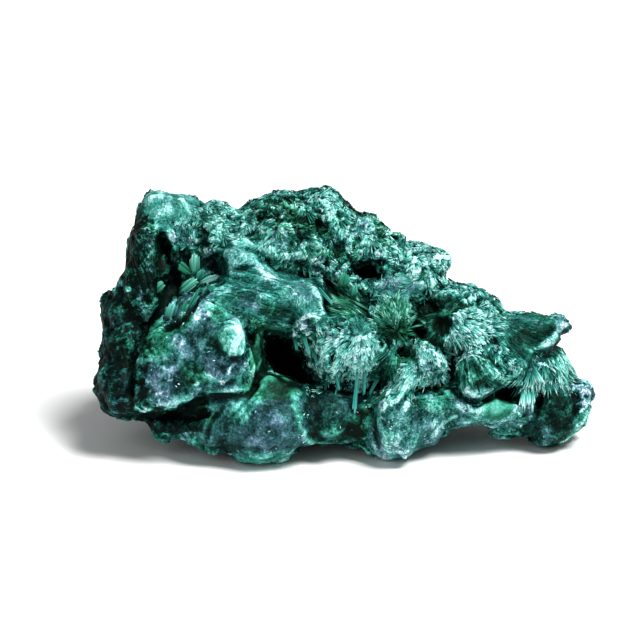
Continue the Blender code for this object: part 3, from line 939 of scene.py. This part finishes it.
def needle_mesh(name, paths, radii, side, flatness, tones, tints, roots, sides=3):
    """Closed tapered needles: each path's last point is its tip. Paths are (needle, ring, 3).

    The shade runs from this share of the tone at the root up to all of it at the tip, which
    paints shade at the roots. The OFBake map has the shade across and the tint up, so that one
    small palette colours every needle.
    """
    count, rings, _ = paths.shape
    aims = unit_rows(paths[:, -1] - paths[:, 0])
    other = unit_rows(np.cross(aims, side)) * flatness
    turns = np.arange(sides) * math.tau / sides + math.pi / 2.0
    spokes = (
        side[:, None, :] * np.cos(turns)[None, :, None]
        + other[:, None, :] * np.sin(turns)[None, :, None]
    )
    body = paths[:, :-1, None, :] + spokes[:, None] * radii[:, :, None, None]
    points = np.concatenate((body.reshape(count, -1, 3), paths[:, -1:, :]), axis=1)
    per_needle = points.shape[1]
    faces = []
    for ring in range(rings - 2):
        for turn in range(sides):
            low = ring * sides + turn
            next_low = ring * sides + (turn + 1) % sides
            faces.append((low, next_low, next_low + sides))
            faces.append((low, next_low + sides, low + sides))
    last = (rings - 2) * sides
    for turn in range(sides):
        faces.append((last + turn, last + (turn + 1) % sides, per_needle - 1))
    for turn in range(1, sides - 1):
        faces.append((0, turn + 1, turn))
    starts = np.arange(count)[:, None, None] * per_needle
    corners = (np.array(faces)[None] + starts).reshape(-1)
    mesh = bpy.data.meshes.new(name)
    mesh.vertices.add(count * per_needle)
    mesh.vertices.foreach_set("co", points.ravel())
    mesh.loops.add(corners.size)
    mesh.loops.foreach_set("vertex_index", corners.astype(np.int32))
    mesh.polygons.add(corners.size // 3)
    mesh.polygons.foreach_set("loop_start", np.arange(0, corners.size, 3, dtype=np.int32))
    along = np.append(np.repeat(np.linspace(0.0, 0.9, rings - 1), sides), 1.0)
    fade = roots[:, None] + (1.0 - roots[:, None]) * along[None, :]
    shade = limited(tones[:, None] * fade)
    row = np.clip(tints * PALETTE_ROWS, 0, PALETTE_ROWS - 1).astype(int)
    spread = np.append(np.tile(np.arange(sides) / (sides - 1.0), rings - 1), 0.5)
    height = (row[:, None] + 0.15 + 0.7 * spread[None, :]) / PALETTE_ROWS
    set_attribute(mesh, "shade", shade.ravel())
    set_attribute(mesh, "tint", np.repeat((row + 0.5) / PALETTE_ROWS, per_needle))
    palette = mesh.uv_layers.new(name="OFBake")
    spots = np.stack((0.01 + 0.98 * shade, height), axis=2).reshape(-1, 2)[corners]
    palette.data.foreach_set("uv", spots.ravel())
    mesh.update(calc_edges=True)
    return mesh


# The meshes that the splinters are shared out to, from left to right.
BATCHES = ("left", "middle", "right", "far_right")


def splinter_batches(mesh, tree, sheaves, look):
    """Meshes of all the straight splinters, from left to right, and of the draped fibres."""
    flowing = own_values(sheaves.zone).kind == "flow"
    taper = np.array((0.8, 1.0))[None, :]
    order = np.argsort(places_of(mesh)[sheaves.vertex, 0])
    batches = []
    for part, name in enumerate(BATCHES):
        ends = [len(order) * share // len(BATCHES) for share in (part, part + 1)]
        picked = order[ends[0]:ends[1]]
        picked = picked[~flowing[picked]]
        paths, widths, side, *shades = splinters_of(mesh, tree, sheaves, picked, look)
        radii = 0.5 * widths[:, None] * taper
        batches.append(needle_mesh("splinters_" + name, paths, radii, side, 0.6, *shades))
    paths, widths, side, *shades = splinters_of(mesh, tree, sheaves, flowing, look)
    steps = np.linspace(0.0, 1.0, 6)[None, :, None]
    paths = paths[:, :1] + (paths[:, -1:] - paths[:, :1]) * steps
    paths = drape(tree, paths)
    radii = 0.5 * widths[:, None] * np.array((0.4, 0.9, 1.0, 0.9, 0.6))[None, :]
    batches.append(needle_mesh("fibres", paths, radii, side, 0.8, *shades))
    return batches


def leaf_rods(tree):
    """The leaf-like crystals, each a row of fibres that shorten toward its edges."""
    steps = np.array((-1.0, -0.5, 0.2, 0.85, 1.0))[:, None]
    shape = np.array((0.6, 1.0, 1.1, 0.7))
    for right, up, half_length, half_width, roll, light, green in LEAVES:
        angle = math.radians(roll)
        aim = np.array((math.cos(angle), math.sin(angle), 0.2))
        across = np.array((-math.sin(angle), math.cos(angle), 0.0))
        middle = np.array((right, up, front_depth(tree, right, up) + LEAF_DEPTH))
        fibres = max(4, round(half_width / LEAF_FIBRE))
        for share in np.linspace(-0.92, 0.92, fibres):
            bow = math.sqrt(1.0 - share ** 2)
            reach = half_length * (0.1 + 0.9 * bow) * rng.uniform(0.76, 1.08)
            course = aim + across * (LEAF_FAN * share + rng.normal(0.0, 0.05))
            crown = np.array((0.0, 0.0, 0.35 * half_width * bow + rng.normal(0.0, 0.06)))
            path = middle + across * share * half_width + crown + course * reach * steps
            tone = light * rng.uniform(0.72, 1.16)
            tint = green + rng.uniform(-0.1, 0.45)
            yield path, 2.5 * half_width / fibres * shape, across, tone, tint


def single_rods(tree):
    """The needles that stand alone, each of a few strands, level with the surface at its root."""
    steps = np.array((0.0, 0.45, 0.8, 0.95, 1.0))
    for root, tip, root_width, tip_width, light, green in NEEDLES:
        start = np.array((*root, front_depth(tree, *root)))
        run = np.array((*tip, start[2] + 0.4)) - start
        side = np.cross(run, (0.0, 0.0, 1.0)) / np.linalg.norm(run)
        widths = root_width + (tip_width - root_width) * steps
        strands = max(2, round(STRANDS_TO_WIDTH * max(root_width, tip_width)))
        for share in np.linspace(-1.0, 1.0, strands):
            reach = steps * rng.uniform(0.9, 1.05)
            path = start + run * reach[:, None] + side * (0.36 * share * widths)[:, None]
            radii = 0.8 * widths[:4] / strands * rng.uniform(0.8, 1.2, 4)
            yield path, radii, side, light * rng.uniform(0.85, 1.15), green


def rods_mesh(name, rods):
    """Needles made one by one: each a path, its radii, its side, its tone and its tint."""
    paths, radii, side, tones, tints = (np.array(column) for column in zip(*rods))
    roots = np.full(len(tones), LEAF_ROOT)
    return needle_mesh(name, paths, radii, side, 0.8, tones, tints, roots, sides=5)


# ---------------------------------------------------------------- the chunk's own detail

def strands_at(places, zones, sheaves, owner):
    """A number that changes across the fibres and stays the same along them."""
    across = dot_rows(places, sheaves.side[owner])
    for index, zone in enumerate(ZONES):
        mine = zones == index
        kind = STYLES[zone.style].kind
        if kind == "fan":
            right = places[mine, 0] - zone.aim[0]
            up = places[mine, 1] - zone.aim[1]
            across[mine] = np.arctan2(up, right) * max(zone.half_right, zone.half_up)
        elif kind == "flow":
            flow = np.array(zone.aim) / math.hypot(*zone.aim)
            across[mine] = places[mine, 1] * flow[0] - places[mine, 0] * flow[1]
    return across


def add_detail(mesh, zones, strands, owner_gap, calm):
    """Steps, lumps and fibre ridges pressed into the body's surface, fewer where it is calm."""
    places = places_of(mesh)
    normals = normals_of(mesh)
    own = own_values(zones)
    rough = own.rough
    height = rough * (0.55 * blocks_at(places, 3.4) + 0.32 * blocks_at(places, 1.5, offset=20.0))
    height += rough * 0.16 * noise_at(places, 0.9, offset=9.0)
    height += 0.25 * noise_at(places, 5.0, offset=3.0)
    tuft = own.kind == "tuft"
    height[tuft] += 0.35 * rough[tuft] * np.clip(1.0 - owner_gap[tuft] ** 2, -0.5, 1.0)
    fibrous = (own.kind == "fan") | (own.kind == "flow")
    lined = np.stack((strands, places[:, 2] * 0.1, places[:, 1] * 0.05), axis=1)
    height[fibrous] += 0.3 * noise_at(lined, 0.9, offset=3.0)[fibrous]
    height -= POCKET_DEPTH * pockets_at(places, zones)
    height *= 1.0 - 0.5 * calm
    places += normals * height[:, None]
    mesh.vertices.foreach_set("co", places.ravel())
    mesh.update()


Look = namedtuple("Look", "light bloom green shadow ridge")
# How much patches differ in lightness, and the size and depth of the pockets between tufts, which
# also get painted shade.
PATCH_LIGHT = 0.30
POCKET_SIZE = 3.4
POCKET_DEPTH = 1.0


def pockets_at(places, zones):
    """1 in the small pockets between tufts, which are pressed in and given painted shade, 0
    elsewhere.
    """
    pockets = limited(2.4 * noise_at(places, POCKET_SIZE, offset=61.0) - 0.3)
    own = own_values(zones)
    return pockets * (own.kind == "tuft") * own.rough


def look_at(places, normals, zones, ridges, ledges):
    """How light, lilac-grey with painted sheen, green, hollow and ridged the surface is at each
    place, its lightness holding painted shade in hollows and pockets.
    """
    own = own_values(zones)
    light, bloom, green = own.light, own.bloom, own.green
    light += PATCH_LIGHT * noise_at(places, 4.5, offset=30.0) * own.contrast
    pockets = pockets_at(places, zones)
    # Painted shade in the pockets, and a greener tint where it is dark.
    light *= 1.0 - 0.6 * pockets
    green += 0.6 * pockets + 0.8 * np.clip(0.5 - light, 0.0, 0.4) * (light > 0.0)
    facing = normals[:, 2] > FRONT
    for _, corners in PLATES:
        depth = rim_depth(places, corners)
        light += RIM_LIGHT * limited(1.3 - depth / 1.4) * (depth > 0.0) * facing
    for spread, light_add, bloom_and_sheen_add, green_add in spreads(places, PAINTS):
        weight = limited(1.8 - 1.3 * spread) * facing
        light += light_add * weight
        bloom += bloom_and_sheen_add * weight
        green += green_add * weight
    ledge, ledge_light = line_weight(places, normals, ledges)
    light += (ledge_light - light) * ledge * 0.8
    ridge, ridge_light = line_weight(places, normals, ridges)
    light += (ridge_light - light) * ridge * 0.85
    shadow = shadow_at(places, normals)
    # Painted shade in the hollows and grooves and below the plates' rims, which the splinters there
    # take too.
    light *= 1.0 - 0.75 * shadow
    bloom *= (1.0 - 0.8 * ridge) * (1.0 - 0.7 * shadow)
    return Look(light, limited(bloom), limited(green), shadow, ridge)


# By kind of surface: how light the stone is under its splinters, a painted shade beneath them, and
# how streaked it is.
# SOFT_SHARE is how much of the rest of the light soft surfaces get back.
BODY_SHARE = {"tuft": 0.62, "fan": 0.5, "flow": 0.95, "skin": 1.0}
FIBRES = {"tuft": 0.4, "fan": 0.9, "flow": 0.5, "skin": 0.12}
SOFT_SHARE = 0.8


def paint_body(mesh, zones, strands, look):
    """Sets the body's attributes for its material."""
    own = own_values(zones)
    share = np.array([BODY_SHARE[kind] for kind in own.kind])
    share += (1.0 - share) * SOFT_SHARE * limited(1.0 - own.contrast)
    tone = look.light * (share + (1.0 - share) * look.ridge)
    # Painted shade in recesses and painted highlight on crests, from how far each point stands out.
    tone += np.clip(0.9 * relief(mesh, 4) + 0.35 * relief(mesh, 25), -0.32, 0.35)
    # Painted shade in the hollows, grooves and below the plates' rims, except on ridges.
    tone -= (tone + 0.1) * look.shadow * (1.0 - look.ridge)
    values = {
        "tone": tone, "bloom": look.bloom, "green": look.green, "strand": strands,
        "contrast": own.contrast, "fibre": [FIBRES[kind] for kind in own.kind],
    }
    for name, column in values.items():
        set_attribute(mesh, name, column)


def specks_mesh(mesh, zones, look):
    """Small pale crystals that sit in clusters on the lilac-grey skins."""
    places = places_of(mesh)
    normals = normals_of(mesh)
    bloom = np.clip(2.0 * own_values(zones).bloom - 0.6, 0.0, 0.7)
    clusters = noise_at(places, 2.2, octaves=3, offset=55.0)
    chance = limited(clusters * 1.6 - 0.6) * bloom * (look.shadow < 0.05)
    chosen = np.flatnonzero(rng.random(len(places)) < chance)
    count = len(chosen)
    aims = unit_rows(normals[chosen] + 0.8 * rng.normal(size=(count, 3)))
    lengths = rng.uniform(0.3, 0.8, count)
    steps = np.array((-0.4, 0.5, 1.0))[None, :, None]
    roots = places[chosen]
    paths = roots[:, None] + aims[:, None] * lengths[:, None, None] * steps
    radii = rng.uniform(0.08, 0.2, count)[:, None] * np.array((1.0, 0.9))[None, :]
    side = unit_rows(np.cross(aims, rng.normal(size=(count, 3))))
    tones = rng.uniform(0.45, 1.15, count)
    shades = (tones, rng.random(count), np.full(count, LEAF_ROOT))
    return needle_mesh("specks", paths, radii, side, 0.8, *shades, sides=4)


# ---------------------------------------------------------------- materials

def socket(nodes, kind, **values):
    """A new shader node with these attributes and input values."""
    node = nodes.new(kind)
    for key, value in values.items():
        if hasattr(node, key):
            setattr(node, key, value)
        else:
            node.inputs[key].default_value = value
    return node


def ramp(tree, factor, stops):
    """The colour that these stops give the factor."""
    node = tree.nodes.new("ShaderNodeValToRGB")
    marks = node.color_ramp.elements
    while len(marks) < len(stops):
        marks.new(0.5)
    for mark, (position, colour) in zip(marks, stops):
        mark.position = position
        mark.color = (*colour, 1.0)
    tree.links.new(factor, node.inputs["Fac"])
    return node.outputs["Color"]


def attribute(tree, name):
    node = tree.nodes.new("ShaderNodeAttribute")
    node.attribute_name = name
    return node.outputs["Fac"]


def maths(tree, operation, *inputs, clamp=False):
    node = tree.nodes.new("ShaderNodeMath")
    node.operation = operation
    node.use_clamp = clamp
    for index, value in enumerate(inputs):
        if isinstance(value, (int, float)):
            node.inputs[index].default_value = value
        else:
            tree.links.new(value, node.inputs[index])
    return node.outputs[0]


def blend(tree, factor, first, second):
    """Mixes two colours."""
    node = tree.nodes.new("ShaderNodeMix")
    node.data_type = "RGBA"
    for value, slot in ((factor, 0), (first, 6), (second, 7)):
        tree.links.new(value, node.inputs[slot])
    return node.outputs[2]


MINTS = [
    (0.0, (0.0004, 0.0045, 0.0032)),
    (0.2, (0.0016, 0.024, 0.018)),
    (0.42, (0.009, 0.105, 0.090)),
    (0.62, (0.040, 0.295, 0.260)),
    (0.82, (0.190, 0.600, 0.550)),
    (1.0, (0.540, 0.900, 0.880)),
]
GREENS = [
    (0.0, (0.0006, 0.005, 0.002)),
    (0.25, (0.004, 0.040, 0.020)),
    (0.55, (0.020, 0.200, 0.100)),
    (0.8, (0.080, 0.420, 0.270)),
    (1.0, (0.330, 0.780, 0.610)),
]
LILACS = [
    (0.0, (0.001, 0.006, 0.007)),
    (0.22, (0.005, 0.027, 0.029)),
    (0.45, (0.025, 0.082, 0.102)),
    (0.68, (0.105, 0.205, 0.272)),
    (0.85, (0.290, 0.450, 0.560)),
    (1.0, (0.760, 0.900, 0.930)),
]

# How strongly every surface shines.
GLOSS = 0.045


def new_material(name, roughness):
    material = bpy.data.materials.new(name)
    material.use_nodes = True
    surface = material.node_tree.nodes["Principled BSDF"]
    surface.inputs["Roughness"].default_value = roughness
    surface.inputs["Specular IOR Level"].default_value = GLOSS
    return material, material.node_tree, surface


def crystal_material(name, roughness, plain, tinted, gain):
    """Crystals: their shade picks a colour of the plain stops or, by their tint, the others."""
    material, tree, surface = new_material(name, roughness)
    shade = attribute(tree, "shade")
    tint = maths(tree, "MULTIPLY", attribute(tree, "tint"), gain, clamp=True)
    colour = blend(tree, tint, ramp(tree, shade, plain), ramp(tree, shade, tinted))
    tree.links.new(colour, surface.inputs["Base Color"])
    return material


def body_material():
    """The mass itself: dark in its hollows by painted shade, mint on its edges with painted
    highlight on its crests, and lilac-grey in places, partly a painted velvet sheen.
    """
    material, tree, surface = new_material("malachite_mass", 0.5)
    nodes = tree.nodes
    where = nodes.new("ShaderNodeTexCoord").outputs["Object"]

    def noise_of(scale, detail, distortion=0.0):
        node = socket(
            nodes, "ShaderNodeTexNoise", Scale=scale, Detail=detail, Distortion=distortion
        )
        tree.links.new(where, node.inputs["Vector"])
        return node.outputs["Fac"]

    def swing(value, depth, share):
        """A value around 0.5 as a change of this full depth around 0, times a share."""
        change = maths(tree, "MULTIPLY_ADD", value, depth, -depth / 2.0)
        return maths(tree, "MULTIPLY", change, share)

    strand = maths(tree, "MULTIPLY", attribute(tree, "strand"), 2.6)
    lines = socket(nodes, "ShaderNodeTexNoise", noise_dimensions="1D", Detail=2.0, Scale=1.0)
    tree.links.new(strand, lines.inputs["W"])
    mottle = noise_of(300.0, 3.0, 0.6)
    grain = noise_of(1300.0, 3.0, 0.8)
    contrast = attribute(tree, "contrast")
    grainy = maths(tree, "MULTIPLY_ADD", contrast, 0.7, 0.3)
    tone = maths(tree, "ADD", attribute(tree, "tone"), swing(mottle, 1.0, contrast))
    tone = maths(tree, "ADD", tone, swing(grain, 1.6, grainy))
    tone = maths(tree, "ADD", tone, swing(noise_of(3000.0, 2.0), 0.7, grainy))
    streak = swing(lines.outputs["Fac"], 0.9, attribute(tree, "fibre"))
    tone = maths(tree, "ADD", tone, streak, clamp=True)
    green = attribute(tree, "green")
    greens = blend(tree, green, ramp(tree, tone, MINTS), ramp(tree, tone, GREENS))
    clouds = swing(noise_of(240.0, 3.0, 0.5), 4.0, contrast)
    # Lilac-grey cover: partly the skins' own colour and partly a painted velvet sheen.
    cover = maths(tree, "ADD", attribute(tree, "bloom"), clouds, clamp=True)
    colour = blend(tree, cover, greens, ramp(tree, tone, LILACS))
    tree.links.new(colour, surface.inputs["Base Color"])
    tree.links.new(maths(tree, "MULTIPLY_ADD", grain, 0.6, 0.2), surface.inputs["Roughness"])
    bump = socket(nodes, "ShaderNodeBump", Strength=0.7, Distance=0.0003)
    height = maths(tree, "ADD", grain, maths(tree, "MULTIPLY", mottle, 0.8))
    height = maths(tree, "ADD", height, maths(tree, "MULTIPLY", streak, 1.2))
    tree.links.new(height, bump.inputs["Height"])
    tree.links.new(bump.outputs["Normal"], surface.inputs["Normal"])
    return material


# ---------------------------------------------------------------- assembly

def add_piece(name, mesh, material):
    """Puts a mesh made in the leaning frame into the scene, riding on the chunk."""
    mesh.transform(LEAN_MATRIX)
    mesh.materials.clear()
    mesh.materials.append(material)
    piece = bpy.data.objects.new(name, mesh)
    bpy.context.scene.collection.objects.link(piece)
    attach(piece, BODY)
    return piece


def add_chunk():
    body, ridges, ledges = shape_body()
    places = places_of(body)
    normals = normals_of(body)
    zones = zones_at(places, normals)
    look = look_at(places, normals, zones, ridges, ledges)
    sheaves = grow_sheaves(body, surface_tree(body), zones, look.shadow > BARE_SHADOW)
    owner, gap = nearest(places[sheaves.vertex], places)
    strands = strands_at(places, zones, sheaves, owner)
    add_detail(body, zones, strands, gap, look.ridge)
    paint_body(body, zones, strands, look)
    tree = surface_tree(body)
    # Needles are mint, and some vivid green. Specks are lilac-grey, and some pale mint.
    needles = crystal_material("malachite_needles", 0.4, MINTS, GREENS, 1.1)
    pale = crystal_material("malachite_specks", 0.3, LILACS, MINTS, 1.0)
    batches = splinter_batches(body, tree, sheaves, look)
    batches += [rods_mesh("leaves", leaf_rods(tree)), rods_mesh("single", single_rods(tree))]
    specks = specks_mesh(body, zones, look)
    for batch in batches:
        add_piece("malachite_" + batch.name, batch, needles)
    add_piece("malachite_specks", specks, pale)
    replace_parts(add_piece("malachite_mass", body, body_material()), NODE)


add_camera()
add_studio()
add_chunk()
